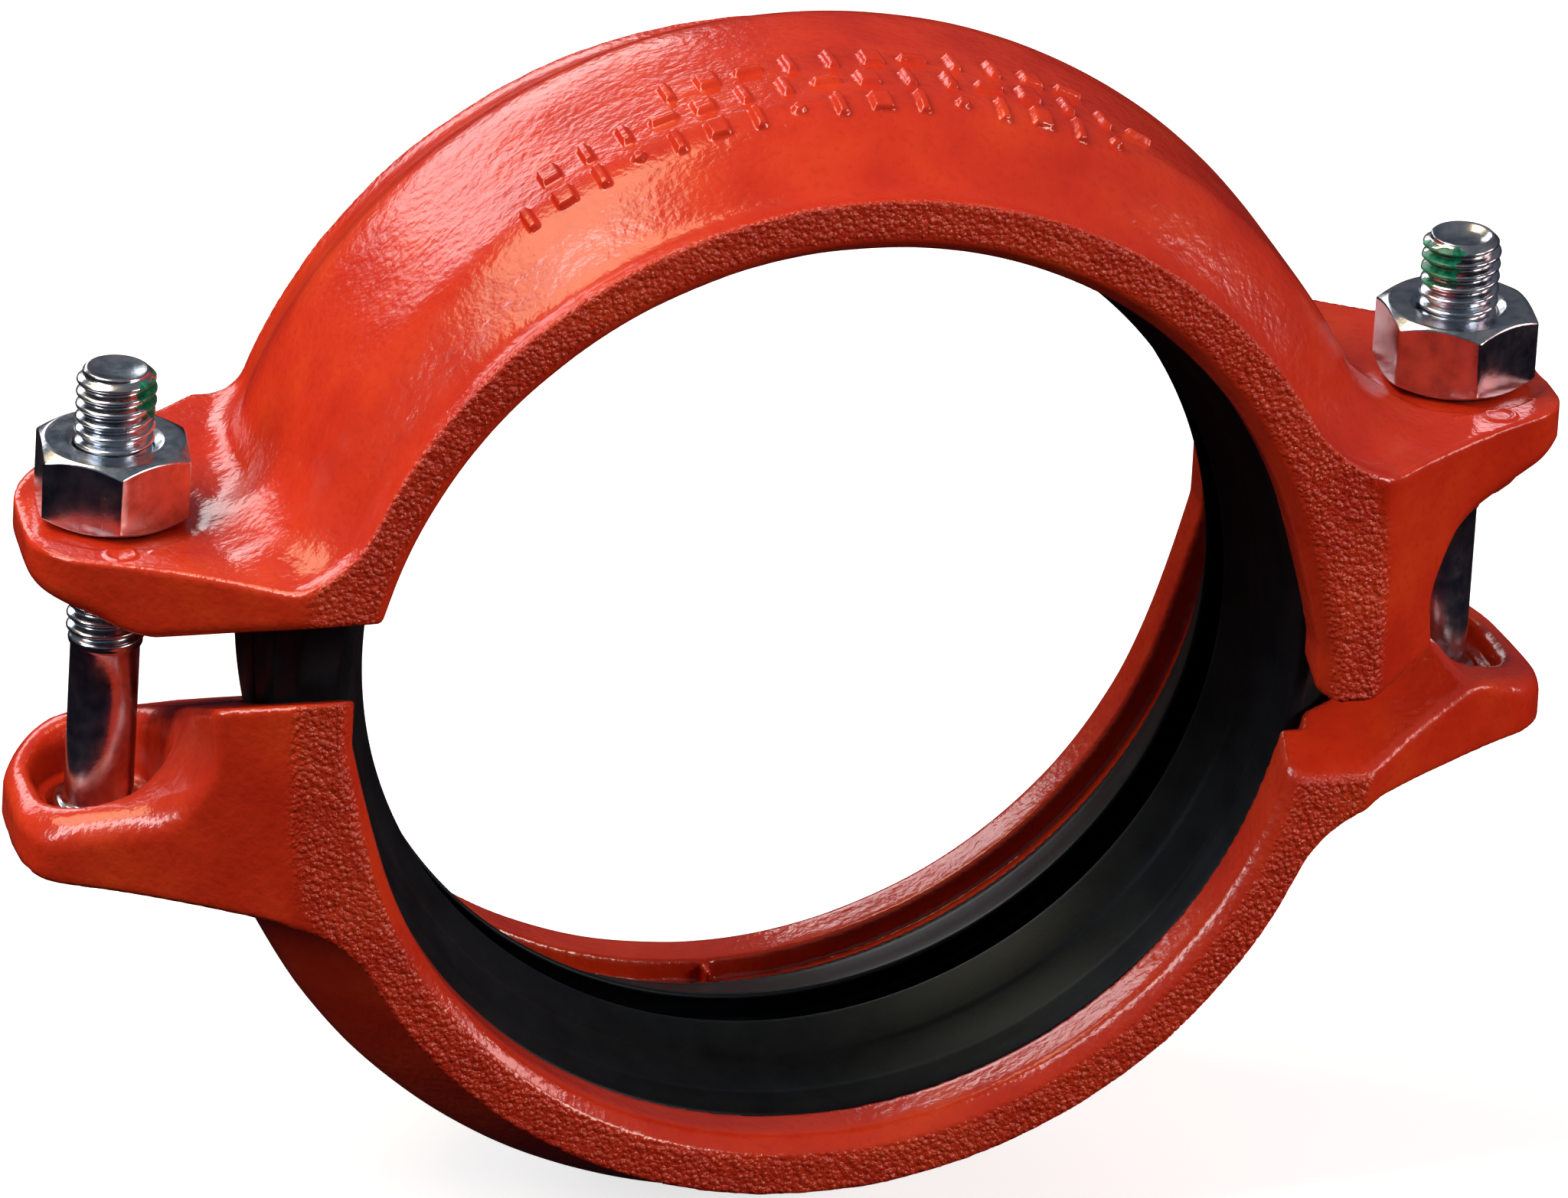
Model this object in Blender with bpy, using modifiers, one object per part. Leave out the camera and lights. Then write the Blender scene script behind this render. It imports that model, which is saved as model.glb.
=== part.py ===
"""Rigid grooved pipe coupling, installation-ready, for 4 inch (DN100) pipe.

Two identical ductile-iron housings (one casting, used twice, turned 180 degrees
about the pipe axis), a C-section rubber gasket, two track-head bolts with a
thread-locking patch each, and two heavy hex nuts.

Metres. +Z runs along the bolts towards the nuts, Y is the pipe axis, and the
origin is on the pipe axis midway between the two housings.
"""
import math

import bmesh
import bpy
from mathutils import Matrix, Vector

MM = 0.001

# pipe and key
KEY_R = 57.5            # key land radius; passes 114.3 mm pipe
KEY_IN_Y = 21.0         # pocket side of the key land
KEY_OUT_Y = 26.5        # where the lead-in cone starts
RIM_Y = 28.7            # outer rim face
RIM_IN_R = 59.5         # inner radius of the rim face
RIM_OUT_R = 64.0        # outer radius of the rim face
ARC_SHIFT = 0.6         # each arc's centre is this far from the pipe axis

# pocket for the gasket
SHELF_R = 60.5          # shelf beside the gasket
POCKET_Y = 18.9         # pocket half-width at the shelf
POCKET_FLOOR_Y = 16.5   # pocket half-width at its floor
POCKET_R = 66.5         # pocket floor radius
HUMP_R = 71.0           # outside of the central hump
HUMP_HALF_W = 10.5

# bolt pads
PAD_SLOPE = 0.46        # pad height per unit of Y
PAD_A_Z = 1.4           # height of pad A on the bolt line
PAD_B_Z = 8.2           # the same for pad B; the pads face each other 9.6 apart as supplied

# ears; A has the lower nut seat, B the higher one
BOLT_X = 82.6
SEAT_A = 18.2
SEAT_B = 24.2
BOSS_A = 10.0           # pocketed side of ear A, round the bolt
BOSS_B = 13.6
RELIEF_TOP_A = 14.4     # floor of the relief round the bolt
RELIEF_TOP_B = 20.0
EAR_PLAN = [(58.6, 28.2), (66.5, 28.2), (81.0, 17.2), (90.8, 12.2), (93.8, 8.8), (94.9, 3.5)]
SLOT_W, SLOT_L = 11.4, 14.6       # slot through the ear, X by Y
RELIEF_W, RELIEF_L = 14.2, 18.6   # wider relief on the mating side

# bolt, nut and patch
THREAD_R = 4.7625       # 3/8 inch thread, major radius
SHANK_R = 4.15          # rolled shank
BOLT_LEN = 60.6         # under the head to the tip
THREAD_LEN = 35.0
HEAD_W, HEAD_L, HEAD_H = 17.0, 21.0, 4.6
NECK_W, NECK_L, NECK_H = 10.2, 13.0, 4.5
NUT_AF = 17.46          # across flats
NUT_H = 9.13
NUT_BORE_R = 4.82
NUT_TURN_LEFT = -38.7   # degrees
NUT_TURN_RIGHT = -31.6
PATCH_TOP = 1.3         # below the tip
PATCH_LEN = 4.7
PATCH_SWEEP = 110.0     # degrees round the thread
PATCH_DEPTH = 0.34
SEAT_CLEAR = 0.05       # running clearance under the nuts and heads

# gasket
GASKET_OUT_R = 64.4
GASKET_OUT_Y = 14.5
GASKET_SIDE_Y = 18.2
GASKET_SIDE_R = 60.0
LIP_R = 53.4
LIP_Y = 3.6
GASKET_X, GASKET_Z = 1.1, -0.6    # it hangs loose in the pockets, so it sits a little low

RING_STEPS = 96
BOLT_STEPS = 32
OVAL_STEPS = 32


def clear_scene():
    for obj in list(bpy.data.objects):
        bpy.data.objects.remove(obj, do_unlink=True)


def make_collection(name):
    col = bpy.data.collections.new(name)
    bpy.context.scene.collection.children.link(col)
    return col


def material(name, colour, metallic, roughness, coat=0.0):
    mat = bpy.data.materials.new(name)
    mat.use_nodes = True
    shader = mat.node_tree.nodes["Principled BSDF"]
    shader.inputs["Base Color"].default_value = (*colour, 1.0)
    shader.inputs["Metallic"].default_value = metallic
    shader.inputs["Roughness"].default_value = roughness
    shader.inputs["Coat Weight"].default_value = coat
    return mat


def finish_mesh(bm, name, collection, mat=None):
    bmesh.ops.remove_doubles(bm, verts=bm.verts, dist=1e-6)
    bmesh.ops.recalc_face_normals(bm, faces=bm.faces)
    mesh = bpy.data.meshes.new(name)
    bm.to_mesh(mesh)
    bm.free()
    obj = bpy.data.objects.new(name, mesh)
    collection.objects.link(obj)
    if mat:
        mesh.materials.append(mat)
    return obj


def as_tool(obj):
    obj.hide_render = True
    obj.display_type = 'WIRE'
    return obj


def turned(name, profile, collection, mat=None, axis='Z', steps=RING_STEPS, closed=False):
    """A profile of (radius, height) points turned once round the object's own axis."""
    place = {'Z': lambda r, h: (r, 0.0, h), 'Y': lambda r, h: (r, h, 0.0)}[axis]
    verts = [Vector(place(r, h)) * MM for r, h in profile]
    edges = [(i, i + 1) for i in range(len(verts) - 1)]
    if closed:
        edges.append((len(verts) - 1, 0))
    mesh = bpy.data.meshes.new(name)
    mesh.from_pydata(verts, edges, [])
    obj = bpy.data.objects.new(name, mesh)
    collection.objects.link(obj)
    if mat:
        mesh.materials.append(mat)
    screw = obj.modifiers.new("Screw", 'SCREW')
    screw.axis = axis
    screw.angle = math.tau
    screw.steps = screw.render_steps = steps
    screw.use_merge_vertices = True
    screw.merge_threshold = 1e-6
    screw.use_normal_calculate = True
    return obj


def cylinder(name, radius, low, high, collection, steps=32):
    bm = bmesh.new()
    place = Matrix.Translation((0.0, 0.0, (low + high) / 2.0 * MM))
    bmesh.ops.create_cone(bm, cap_ends=True, segments=steps, radius1=radius * MM, radius2=radius * MM,
                          depth=(high - low) * MM, matrix=place)
    return finish_mesh(bm, name, collection)


def extruded(name, outline, axis, low, high, collection, mat=None):
    """A closed outline in mm, extruded along one axis."""
    place = {'X': lambda a, b, c: (c, a, b), 'Y': lambda a, b, c: (a, c, b),
             'Z': lambda a, b, c: (a, b, c)}[axis]
    bm = bmesh.new()
    face = bm.faces.new([bm.verts.new(Vector(place(a, b, low)) * MM) for a, b in outline])
    grown = bmesh.ops.extrude_face_region(bm, geom=[face])
    moved = [g for g in grown["geom"] if isinstance(g, bmesh.types.BMVert)]
    bmesh.ops.translate(bm, verts=moved, vec=Vector(place(0.0, 0.0, high - low)) * MM)
    return finish_mesh(bm, name, collection, mat)


def hull(name, points, collection):
    bm = bmesh.new()
    for point in points:
        bm.verts.new(Vector(point) * MM)
    made = bmesh.ops.convex_hull(bm, input=bm.verts)
    loose = [g for g in made["geom_interior"] if isinstance(g, bmesh.types.BMVert)]
    bmesh.ops.delete(bm, geom=loose, context='VERTS')
    return finish_mesh(bm, name, collection)


def oval(width, length, steps=OVAL_STEPS):
    """A slot outline: two half circles joined by straight sides along Y."""
    radius, straight = width / 2.0, (length - width) / 2.0
    points = []
    for i in range(steps):
        turn = math.tau * (i + 0.5) / steps
        side = straight if math.sin(turn) > 0 else -straight
        points.append((radius * math.cos(turn), radius * math.sin(turn) + side))
    return points


def moved_outline(outline, dx):
    return [(x + dx, y) for x, y in outline]


def boolean(obj, tool, operation):
    mod = obj.modifiers.new(operation.title() + " " + tool.name, 'BOOLEAN')
    mod.operation = operation
    mod.solver = 'EXACT'
    mod.object = tool
    as_tool(tool)


def ear_plan(side, reach=None):
    """Plan outline of an ear; with reach, the narrower pad, which stops at x = reach."""
    front = [(x, -y) for x, y in EAR_PLAN]
    if reach:
        (x0, y0), (x1, y1) = [(x - 0.1, y - 0.1) for x, y in EAR_PLAN[1:3]]
        cut_y = y0 + (y1 - y0) * (reach - x0) / (x1 - x0)
        front = [(front[0][0] + 0.2, -y0), (x0, -y0), (reach, -cut_y)]
    whole = front + [(x, -y) for x, y in reversed(front)]
    return [(x * side, y) for x, y in whole]


def ear_pieces(side, seat, boss, pad_top, pad_foot, tools):
    """The plate that carries the bolt, and the raised pad beside the ring."""
    tag = "a" if side < 0 else "b"
    plate = extruded("ear_plate_" + tag, ear_plan(side), 'Z', boss, seat, tools)
    high = [(x, y, -16.0) for x, y in ear_plan(side, pad_top)]
    low = [(x, y, boss + 0.6) for x, y in ear_plan(side, pad_foot)]
    top = [(x, y, seat - 0.4) for x, y in ear_plan(side, pad_foot)]
    return [plate, hull("ear_pad_" + tag, high + low + top, tools)]


def ring_blank(name, collection, mat):
    section = [(-RIM_Y, 45.0), (-RIM_Y, RIM_OUT_R), (-26.0, 64.3), (-22.0, 65.3), (-18.0, 67.4),
               (-14.0, 69.9), (-HUMP_HALF_W, HUMP_R)]
    section += [(-y, r) for y, r in reversed(section)]
    ring = turned(name, [(r, y) for y, r in section], collection, mat, 'Y', closed=True)
    ring.location.z = ARC_SHIFT * MM
    return ring


def bore_sections():
    """(half-width, radius) corners of the bore, from outside to the pocket floor."""
    flare = (RIM_IN_R - KEY_R) / (RIM_Y - KEY_OUT_Y)
    mouth_y = RIM_Y + 6.0
    return [(mouth_y, KEY_R + flare * (mouth_y - KEY_OUT_Y)), (KEY_OUT_Y, KEY_R), (KEY_IN_Y, KEY_R),
            (KEY_IN_Y, SHELF_R), (POCKET_Y, SHELF_R), (POCKET_FLOOR_Y, POCKET_R)]


def bore_cutters(tools):
    """The bore, round above the arc's centre and straight-sided below it."""
    edge = bore_sections()
    section = [(-y, r) for y, r in edge] + [(y, r) for y, r in reversed(edge)]
    section = [(-RIM_Y - 6.0, 30.0)] + section + [(RIM_Y + 6.0, 30.0)]
    wheel = turned("bore_wheel", [(r, y) for y, r in section], tools, None, 'Y', closed=True)
    wheel.location.z = ARC_SHIFT * MM
    edge = [(y, r - 0.04) for y, r in edge]
    plan = [(r, -y) for y, r in edge] + [(r, y) for y, r in reversed(edge)]
    plan += [(-r, y) for y, r in edge] + [(-r, -y) for y, r in reversed(edge)]
    sides = extruded("bore_sides", plan, 'Z', -30.0, ARC_SHIFT + 0.35, tools)
    return [wheel, sides]


def pad_cutters(tools):
    """Everything below the slanted pads; they slope opposite ways left and right."""
    lower_half = [(-95.0, -20.0), (95.0, -20.0), (95.0, -80.0), (-95.0, -80.0)]
    cutters = [extruded("lower_half", lower_half, 'Y', -40.0, 40.0, tools)]
    for side, middle, tag in ((-1.0, PAD_A_Z, "a"), (1.0, PAD_B_Z, "b")):
        low = side * PAD_SLOPE * -50.0 + middle
        high = side * PAD_SLOPE * 50.0 + middle
        outline = [(-50.0, low), (50.0, high), (50.0, -60.0), (-50.0, -60.0)]
        ends = (-4.3, 120.0) if side > 0 else (-120.0, 4.7)
        cutters.append(extruded("pad_cut_" + tag, outline, 'X', ends[0], ends[1], tools))
    return cutters


def slot_cutters(tools):
    cutters = []
    for side, seat, boss, top, tag in ((-1.0, SEAT_A, BOSS_A, RELIEF_TOP_A, "a"),
                                       (1.0, SEAT_B, BOSS_B, RELIEF_TOP_B, "b")):
        slot = moved_outline(oval(SLOT_W, SLOT_L), side * BOLT_X)
        relief = moved_outline(oval(RELIEF_W, RELIEF_L), side * BOLT_X)
        cutters.append(extruded("slot_" + tag, slot, 'Z', boss - 25.0, seat + 5.0, tools))
        cutters.append(extruded("relief_" + tag, relief, 'Z', boss - 26.0, top, tools))
    return cutters


def locating_rib(tools):
    """A small rib across the shelf, on the arc's centre line."""
    plan = [(-0.8, POCKET_Y + 0.1), (0.8, POCKET_Y + 0.1), (0.8, KEY_IN_Y + 0.4), (-0.8, KEY_IN_Y + 0.4)]
    return extruded("rib", plan, 'Z', KEY_R + ARC_SHIFT + 0.7, SHELF_R + ARC_SHIFT + 0.6, tools)


def build_housing(name, turn, collection, tools, mat):
    """One casting, drawn as the upper half; turn=True gives the lower half."""
    body = ring_blank(name, collection, mat)
    before = set(tools.objects)
    solids = ear_pieces(-1.0, SEAT_A, BOSS_A, 76.0, 79.5, tools)
    solids += ear_pieces(1.0, SEAT_B, BOSS_B, 71.5, 78.0, tools)
    for tool in solids:
        boolean(body, tool, 'UNION')
    for tool in bore_cutters(tools) + pad_cutters(tools) + slot_cutters(tools):
        boolean(body, tool, 'DIFFERENCE')
    boolean(body, locating_rib(tools), 'UNION')
    if turn:
        half_turn = Matrix.Rotation(math.pi, 4, 'Y')
        for obj in [body] + [t for t in tools.objects if t not in before]:
            obj.matrix_world = half_turn @ Matrix.Translation(obj.location)
    return body


def build_gasket(collection, mat):
    """C section: outer body, two side shoulders and two lips that lean inward."""
    half = [(GASKET_OUT_Y, GASKET_OUT_R), (GASKET_SIDE_Y, GASKET_SIDE_R), (18.0, 58.6),
            (14.5, 57.2), (LIP_Y, LIP_R), (LIP_Y - 0.5, LIP_R + 0.9), (8.0, 56.9), (11.8, 60.6)]
    section = half + [(-y, r) for y, r in reversed(half)]
    gasket = turned("gasket", [(r, y) for y, r in section], collection, mat, 'Y', closed=True)
    gasket.location = (GASKET_X * MM, 0.0, GASKET_Z * MM)
    return gasket


def sector(inner, outer, low, high, middle, sweep, name, tools, mat=None):
    """Part of a tube round Z: middle and sweep are in degrees."""
    steps = 12
    turns = [math.radians(middle + sweep * (i / steps - 0.5)) for i in range(steps + 1)]
    outline = [(outer * math.cos(t), outer * math.sin(t)) for t in turns]
    outline += [(inner * math.cos(t), inner * math.sin(t)) for t in reversed(turns)]
    return extruded(name, outline, 'Z', low, high, tools, mat)


def build_bolt(name, x, seat, patch_turn, collection, tools, mat):
    """Track-head bolt standing on its head, drawn from the seat upwards."""
    tip = BOLT_LEN
    start = tip - THREAD_LEN
    profile = [(0.0, tip), (THREAD_R - 0.9, tip), (THREAD_R, tip - 0.9), (THREAD_R, start),
               (SHANK_R, start - 0.6), (SHANK_R, NECK_H - 0.5), (0.0, NECK_H - 0.5)]
    bolt = turned(name, profile, collection, mat, steps=BOLT_STEPS)
    head = extruded(name + "_head", oval(HEAD_W, HEAD_L), 'Z', -HEAD_H, -SEAT_CLEAR, tools)
    dome = head.modifiers.new("Dome", 'BEVEL')
    dome.width = 1.6 * MM
    dome.segments = 3
    dome.limit_method = 'ANGLE'
    neck = extruded(name + "_neck", oval(NECK_W, NECK_L), 'Z', -1.0, NECK_H, tools)
    boolean(bolt, head, 'UNION')
    boolean(bolt, neck, 'UNION')
    high = tip - PATCH_TOP
    recess = sector(THREAD_R - PATCH_DEPTH, THREAD_R + 1.0, high - PATCH_LEN, high, patch_turn,
                    PATCH_SWEEP, name + "_recess", tools)
    boolean(bolt, recess, 'DIFFERENCE')
    for obj in (bolt, head, neck, recess):
        obj.location = (x * MM, 0.0, seat * MM)
    return bolt


def build_patch(name, x, seat, patch_turn, collection, mat):
    high = BOLT_LEN - PATCH_TOP - 0.1
    patch = sector(THREAD_R - PATCH_DEPTH + 0.05, THREAD_R - 0.03, high - PATCH_LEN + 0.2, high,
                   patch_turn, PATCH_SWEEP - 3.0, name, collection, mat)
    patch.location = (x * MM, 0.0, seat * MM)
    return patch


def build_nut(name, x, seat, turn, collection, tools, mat):
    """Heavy hex nut: hexagon with its corners turned off at both ends."""
    corner = NUT_AF / math.sqrt(3.0)
    hexagon = [(corner * math.cos(math.radians(60 * i + turn)),
                corner * math.sin(math.radians(60 * i + turn))) for i in range(6)]
    nut = extruded(name, hexagon, 'Z', 0.0, NUT_H, collection, mat)
    drop = (corner - NUT_AF / 2.0 * 0.96) * math.tan(math.radians(30.0))
    face_r, grow = NUT_AF / 2.0 * 0.96, 0.001
    profile = [(0.0, NUT_H + grow), (face_r, NUT_H + grow), (corner + grow, NUT_H - drop),
               (corner + grow, drop), (face_r, -grow), (0.0, -grow)]
    cone = turned(name + "_turned", profile, tools, steps=48)
    boolean(nut, cone, 'INTERSECT')
    bore = cylinder(name + "_bore", NUT_BORE_R, -3.0, NUT_H + 3.0, tools)
    boolean(nut, bore, 'DIFFERENCE')
    for obj in (nut, cone, bore):
        obj.location = (x * MM, 0.0, (seat + SEAT_CLEAR) * MM)
    return nut


def shade(collection):
    """Keep each finished body as a mesh, smooth except at its real edges."""
    bpy.context.view_layer.update()
    graph = bpy.context.evaluated_depsgraph_get()
    for obj in collection.objects:
        mesh = bpy.data.meshes.new_from_object(obj.evaluated_get(graph))
        mesh.name = obj.name
        mesh.shade_smooth()
        mesh.set_sharp_from_angle(angle=math.radians(35.0))
        obj.modifiers.clear()
        obj.data = mesh


def main():
    clear_scene()
    parts = make_collection("pipe_coupling")
    tools = make_collection("cutters")
    paint_up = material("upper_paint", (0.62, 0.07, 0.02), 0.0, 0.35, 0.4)
    paint_low = material("lower_paint", (0.62, 0.07, 0.02), 0.0, 0.35, 0.4)
    rubber = material("gasket_rubber", (0.012, 0.014, 0.017), 0.0, 0.55)
    build_housing("upper_housing", False, parts, tools, paint_up)
    build_housing("lower_housing", True, parts, tools, paint_low)
    build_gasket(parts, rubber)
    for tag, x, low, high, turn, patch in (("left", -BOLT_X, -SEAT_B, SEAT_A, NUT_TURN_LEFT, -15.0),
                                           ("right", BOLT_X, -SEAT_A, SEAT_B, NUT_TURN_RIGHT, -150.0)):
        zinc = material(tag + "_bolt_zinc", (0.62, 0.66, 0.70), 1.0, 0.28)
        nut_zinc = material(tag + "_nut_zinc", (0.66, 0.69, 0.72), 1.0, 0.25)
        green = material(tag + "_patch_green", (0.0, 0.22, 0.10), 0.0, 0.45)
        build_bolt(tag + "_track_bolt", x, low, patch, parts, tools, zinc)
        build_patch(tag + "_thread_patch", x, low, patch, parts, green)
        build_nut(tag + "_hex_nut", x, high, turn, parts, tools, nut_zinc)
    shade(parts)


main()
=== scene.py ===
"""Looks for a rigid grooved pipe coupling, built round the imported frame.

Both housings are one casting, described once as a signed distance field (arch
up, bolt pads down) and turned half a turn about the pipe axis for the lower
half. The bolts, nuts, locking patches and gasket are swept from formulas.
Lengths are millimetres until a mesh is made; MM turns them into metres.
"""
import math

import bmesh
import bpy
import numpy as np
from mathutils import Matrix, Vector


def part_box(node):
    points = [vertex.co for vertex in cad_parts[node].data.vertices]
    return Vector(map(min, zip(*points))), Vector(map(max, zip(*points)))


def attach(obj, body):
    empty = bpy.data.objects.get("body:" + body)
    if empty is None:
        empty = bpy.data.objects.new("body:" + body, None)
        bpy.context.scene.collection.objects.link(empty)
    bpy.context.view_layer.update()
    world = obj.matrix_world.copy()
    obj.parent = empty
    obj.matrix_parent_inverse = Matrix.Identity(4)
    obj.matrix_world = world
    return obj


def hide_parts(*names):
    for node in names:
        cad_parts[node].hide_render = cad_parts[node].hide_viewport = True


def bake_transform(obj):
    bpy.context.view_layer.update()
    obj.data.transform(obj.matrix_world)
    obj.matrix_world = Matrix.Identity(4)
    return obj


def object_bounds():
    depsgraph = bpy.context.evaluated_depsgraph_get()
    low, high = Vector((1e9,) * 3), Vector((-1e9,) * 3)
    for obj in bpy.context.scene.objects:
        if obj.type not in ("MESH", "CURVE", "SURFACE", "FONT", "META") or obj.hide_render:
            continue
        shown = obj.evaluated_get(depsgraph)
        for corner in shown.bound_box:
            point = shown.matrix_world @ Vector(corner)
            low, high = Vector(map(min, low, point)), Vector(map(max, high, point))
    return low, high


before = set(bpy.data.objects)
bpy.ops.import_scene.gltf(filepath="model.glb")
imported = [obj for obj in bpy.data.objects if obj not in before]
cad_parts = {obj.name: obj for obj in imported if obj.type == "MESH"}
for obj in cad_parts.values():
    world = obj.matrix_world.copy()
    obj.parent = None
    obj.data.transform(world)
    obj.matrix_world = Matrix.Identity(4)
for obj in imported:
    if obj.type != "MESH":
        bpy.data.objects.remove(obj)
CAD_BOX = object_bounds()

MM = 0.001


def box_mm(node):
    """A CAD node's box in mm: (lowest corner, highest corner)."""
    low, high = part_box(node)
    return np.array(low) / MM, np.array(high) / MM


# ---------------------------------------------------------------- dimensions
UPPER_HIGH = box_mm("upper_housing")[1]
LEFT_NUT_LOW, LEFT_NUT_HIGH = box_mm("left_hex_nut")
RIGHT_NUT_LOW, RIGHT_NUT_HIGH = box_mm("right_hex_nut")

RIM_Y = UPPER_HIGH[1]                 # outer rim faces
EAR_END = UPPER_HIGH[0]
ARC_SHIFT = 0.6                       # the arc's centre above the pipe axis
HUMP_R = UPPER_HIGH[2] - ARC_SHIFT
RIM_IN_R = 59.5
KEY_R = 57.5
KEY_IN_Y = 21.0
KEY_OUT_Y = 26.5
SHELF_R = 60.5
POCKET_Y = 18.9
POCKET_FLOOR_Y = 16.5
POCKET_R = 65.3                       # snug round the gasket, so the slopes keep their wall

PAD_SLOPE = 0.46
PAD_A_Z, PAD_B_Z = 1.4, 8.2           # height of each slanted pad on the bolt line
BOLT_X = (RIGHT_NUT_LOW[0] + RIGHT_NUT_HIGH[0]) / 2.0
SEAT_CLEAR = 0.05
SEAT_A = LEFT_NUT_LOW[2] - SEAT_CLEAR   # nut seat on ear A, at -X on the upper half
SEAT_B = RIGHT_NUT_LOW[2] - SEAT_CLEAR
UNDER_A = (9.1, 0.30)                 # the ear's underside beside the bolt, and its rise outwards
UNDER_B = (14.0, 0.33)
BLOCK_A, BLOCK_B = 79.0, 73.2         # where the block that carries each pad ends
BLOCK_LEAN = 0.12
EAR_NEAR = (66.0, 0.79)               # where the ears' walls leave the rim, and how fast they run in
EAR_FAR = (90.8, 13.0, 0.50)          # x and half width near the blunt end, and the slower run in
EAR_BLEND = 3.0                       # how softly the two runs meet
EAR_CORNER = 5.5
EAR_ROOT = 50.0                       # the ears start inside the ring
EAR_FILLET = (3.0, 5.0)               # fillet to the ring at the back, and how much more at the front
SEAT_SPOT_R = 10.9                    # the flat spot under each nut
SLOT = (11.4, 14.6)                   # through slot, X by Y
RELIEF = (14.2, 18.6)                 # wider pocket on the mating side
RELIEF_TOP_A = 14.4
RELIEF_TOP_B = 20.0
RELIEF_EDGE_A, RELIEF_EDGE_B = 2.2, 2.8
SEAT_EDGE = SLOT_EDGE = 0.8           # small edge radii
WALL_EDGE = 0.7
RIM_EDGE = SHELF_EDGE = 0.5
BORE_EDGE = 0.6
PAD_EDGE = 0.9

NUT_AF = 17.46
NUT_H = LEFT_NUT_HIGH[2] - LEFT_NUT_LOW[2]
THREAD_R = 4.7625
PITCH = 1.5875
SHANK_R = 4.15
THREAD_LEN = 35.0

CELL = 0.68    # casting grid


# ------------------------------------------------------- distance field tools
def round_cut(a, b, r):
    """Intersection of two fields, its outside edge rounded to radius r."""
    corner = np.hypot(np.maximum(a + r, 0.0), np.maximum(b + r, 0.0))
    return np.minimum(np.maximum(a, b), -r) + corner


def round_join(a, b, r):
    """Union of two fields, its inside corner filleted to radius r."""
    corner = np.hypot(np.maximum(r - a, 0.0), np.maximum(r - b, 0.0))
    return np.maximum(np.minimum(a, b), r) - corner


def smooth_step(t):
    """0 up to 0, 1 from 1, and a smooth rise between."""
    t = np.clip(t, 0.0, 1.0)
    return t * t * (3.0 - 2.0 * t)


def soft_max(a, b, r):
    """The larger of two fields, blended where they are within r of each other."""
    h = np.clip(0.5 + 0.5 * (a - b) / r, 0.0, 1.0)
    return b + (a - b) * h + r * h * (1.0 - h)


def slot_distance(x, y, size):
    """Distance to a slot with round ends along Y."""
    width, length = size
    over = np.maximum(np.abs(y) - (length - width) / 2.0, 0.0)
    return np.hypot(x, over) - width / 2.0


# ------------------------------------------------------------- the casting
# The ring's outside, front to back, as (y, radius): rim edge, valley, hump, valley, rim edge.
RING_PROFILE = ((-31.0, 64.5), (-28.7, 64.3), (-26.3, 63.5), (-24.2, 63.9), (-21.3, 65.8), (-18.0, 67.9),
                (-15.0, 69.5), (-12.0, 70.15), (-8.0, 70.2), (8.0, 70.2), (12.0, 70.05), (15.0, 69.5),
                (18.0, 68.0), (21.3, 65.9), (24.2, 64.1), (26.3, 63.4), (28.7, 63.3), (31.0, 63.4))
FRONT_LIP, BACK_LIP = 0.4, 0.9        # how far ear A's seat side rises to its edges
LIP_FROM = 12.0
RIB = (0.5, 1.4, 1.5)                 # the small rib across the back shelf: half sizes in x, y and radius
RIB_R = 59.6
END_SKEW = 0.16                       # the ears' blunt ends run in towards the back,
SKEW_FROM = 6.0                       # from this far in front of the bolt line
BORE_ASIDE = -0.1                     # x of the bore's centre
BORE_Z = 1.009                        # how much flatter than a circle the bore's arch is
FLARE_FROM = 18.0                     # below this height the bore widens towards the pads
FLARE_RATE, FLARE_MOST = 0.0066, 1.7
PROFILE_STEP = 0.1
PROFILE_BLUR = 0.9
HUMP_ASIDE = 2.6                      # the crest's arc is this far towards ear B


def ring_profile():
    """The profile as a smooth table of radius and slope against y."""
    y = np.arange(-31.0, 31.0 + PROFILE_STEP, PROFILE_STEP)
    radius = np.interp(y, *np.array(RING_PROFILE).T)
    spread = np.arange(-30, 31) * PROFILE_STEP
    weight = np.exp(-0.5 * (spread / PROFILE_BLUR) ** 2)
    padded = np.pad(radius, 30, mode="edge")
    radius = np.convolve(padded, weight / weight.sum(), mode="valid")
    return y, radius, np.gradient(radius, PROFILE_STEP)


PROFILE = ring_profile()
VALLEY_R = float(PROFILE[1].min())
CREST_R = float(PROFILE[1].max())


def ring_outside(x, y, high):
    """Distance outside the ring: near-level rims with an eccentric hump between."""
    level = np.interp(y, PROFILE[0], PROFILE[1])
    slope = np.interp(y, PROFILE[0], PROFILE[2])
    aside = x - HUMP_ASIDE * (level - VALLEY_R) / (CREST_R - VALLEY_R)
    radius = np.where(high > 0.0, np.hypot(aside, high), np.abs(aside))
    return (radius - level) / np.sqrt(1.0 + slope ** 2)


def ear_wall(x, y):
    """Plan outline of the ears: the walls run in from the rim to a blunt end."""
    back = y
    x, y = np.abs(x), np.abs(y)
    near = RIM_Y - EAR_NEAR[1] * (x - EAR_NEAR[0])
    far = EAR_FAR[1] + EAR_FAR[2] * (EAR_FAR[0] - x)
    half_width = soft_max(near, far, EAR_BLEND)
    end = EAR_END - END_SKEW * np.maximum(back + SKEW_FROM, 0.0)
    return round_cut((y - half_width) * 0.80, x - end, EAR_CORNER)


# Each ear's mating side: sign of the pad's slope, pad height, underside, block end, and the radii
# at the ear's end and where block and underside meet.
SIDE_A = (-1.0, PAD_A_Z, UNDER_A, BLOCK_A, 2.4, 3.5)
SIDE_B = (1.0, PAD_B_Z, UNDER_B, BLOCK_B, 1.5, 9.0)


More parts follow.
